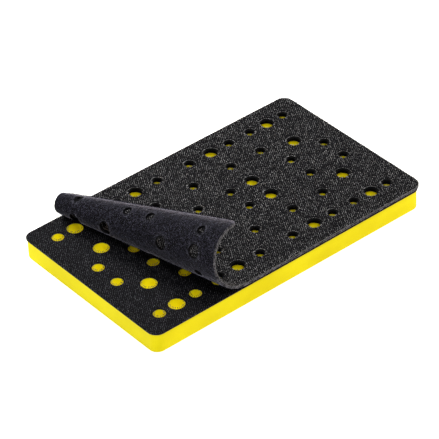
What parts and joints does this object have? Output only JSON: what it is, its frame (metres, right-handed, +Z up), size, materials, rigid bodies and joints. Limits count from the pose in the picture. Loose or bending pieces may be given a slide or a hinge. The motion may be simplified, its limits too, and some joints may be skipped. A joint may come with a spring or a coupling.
{
  "type": "sanding block",
  "caption": "Flat perforated foam sanding block with a micro-hook face and a matching hook-and-loop pad saver sheet, one end peeled back.",
  "frame": {"origin": "centre of the foam block's flat underside", "axes": "+X along the length, away from the peeled end; +Y across the width; +Z up, out of the hook face"},
  "size_m": [0.1334, 0.0835, 0.0348],
  "materials": {
    "yellow_foam": "matte dense closed-cell foam",
    "adhesive": "thin hot-melt film",
    "carrier_cloth": "tight black knit",
    "block_hooks": "short stiff black micro-hooks",
    "saver_hooks": "short stiff charcoal micro-hooks, sparkling at their tips",
    "backing_film": "thin grey film seen at the cut edge",
    "velour": "soft fuzzy blue-black loop pile"
  },
  "bodies": {
    "block": {"foam_body": "yellow_foam", "adhesive_film": "adhesive", "hook_face_base": "carrier_cloth", "hook_face_pile": "block_hooks"},
    "pad_saver": {"saver_velour": "velour", "saver_film": "backing_film", "saver_hook_base": "carrier_cloth", "saver_hook_pile": "saver_hooks"},
    "flap_1": {"flap_1_velour": "velour", "flap_1_film": "backing_film", "flap_1_hook_base": "carrier_cloth", "flap_1_hook_pile": "saver_hooks"},
    "flap_2": {"flap_2_velour": "velour", "flap_2_film": "backing_film", "flap_2_hook_base": "carrier_cloth", "flap_2_hook_pile": "saver_hooks"},
    "flap_3": {"flap_3_velour": "velour", "flap_3_film": "backing_film", "flap_3_hook_base": "carrier_cloth", "flap_3_hook_pile": "saver_hooks"},
    "flap_4": {"flap_4_velour": "velour", "flap_4_film": "backing_film", "flap_4_hook_base": "carrier_cloth", "flap_4_hook_pile": "saver_hooks"},
    "flap_5": {"flap_5_velour": "velour", "flap_5_film": "backing_film", "flap_5_hook_base": "carrier_cloth", "flap_5_hook_pile": "saver_hooks"},
    "flap_6": {"flap_6_velour": "velour", "flap_6_film": "backing_film", "flap_6_hook_base": "carrier_cloth", "flap_6_hook_pile": "saver_hooks"},
    "flap_7": {"flap_7_velour": "velour", "flap_7_film": "backing_film", "flap_7_hook_base": "carrier_cloth", "flap_7_hook_pile": "saver_hooks"},
    "flap_8": {"flap_8_velour": "velour", "flap_8_film": "backing_film", "flap_8_hook_base": "carrier_cloth", "flap_8_hook_pile": "saver_hooks"},
    "flap_9": {"flap_9_velour": "velour", "flap_9_film": "backing_film", "flap_9_hook_base": "carrier_cloth", "flap_9_hook_pile": "saver_hooks"}
  },
  "joints": [
    {"name": "saver_lift", "type": "slide", "parent": "block", "child": "pad_saver", "axis": [0, 0, 1], "range_m": [0, 0.03]},
    {"name": "peel_1", "type": "hinge", "parent": "pad_saver", "child": "flap_1", "pos_m": [-0.03571, 0.00116, 0.0105], "axis": [0.2557, -0.9668, 0], "range_deg": [0, 22]},
    {"name": "peel_2", "type": "hinge", "parent": "flap_1", "child": "flap_2", "pos_m": [-0.03862, 0.00047, 0.01171], "axis": [0.2147, -0.9765, 0.017], "range_deg": [0, 22]},
    {"name": "peel_3", "type": "hinge", "parent": "flap_2", "child": "flap_3", "pos_m": [-0.04091, 0.00008, 0.01394], "axis": [0.1825, -0.982, 0.0485], "range_deg": [0, 22]},
    {"name": "peel_4", "type": "hinge", "parent": "flap_3", "child": "flap_4", "pos_m": [-0.04224, 0.00005, 0.01687], "axis": [0.1638, -0.9824, 0.0898], "range_deg": [0, 26]},
    {"name": "peel_5", "type": "hinge", "parent": "flap_4", "child": "flap_5", "pos_m": [-0.04219, 0.00043, 0.02007], "axis": [0.1644, -0.9771, 0.1349], "range_deg": [0, 26]},
    {"name": "peel_6", "type": "hinge", "parent": "flap_5", "child": "flap_6", "pos_m": [-0.04079, 0.00112, 0.02289], "axis": [0.1842, -0.9673, 0.1745], "range_deg": [0, 26]},
    {"name": "peel_7", "type": "hinge", "parent": "flap_6", "child": "flap_7", "pos_m": [-0.0383, 0.00201, 0.02474], "axis": [0.2192, -0.9549, 0.2005], "range_deg": [0, 24]},
    {"name": "peel_8", "type": "hinge", "parent": "flap_7", "child": "flap_8", "pos_m": [-0.03527, 0.00291, 0.02535], "axis": [0.2619, -0.9421, 0.2092], "range_deg": [0, 24]},
    {"name": "peel_9", "type": "hinge", "parent": "flap_8", "child": "flap_9", "pos_m": [-0.03222, 0.00367, 0.02463], "axis": [0.3048, -0.9314, 0.199], "range_deg": [0, 24]}
  ],
  "couplings": [
    {"joint": "peel_2", "follows": "peel_1", "ratio": 1},
    {"joint": "peel_3", "follows": "peel_1", "ratio": 1},
    {"joint": "peel_4", "follows": "peel_1", "ratio": 1.1818},
    {"joint": "peel_5", "follows": "peel_1", "ratio": 1.1818},
    {"joint": "peel_6", "follows": "peel_1", "ratio": 1.1818},
    {"joint": "peel_7", "follows": "peel_1", "ratio": 1.0909},
    {"joint": "peel_8", "follows": "peel_1", "ratio": 1.0909},
    {"joint": "peel_9", "follows": "peel_1", "ratio": 1.0909}
  ]
}
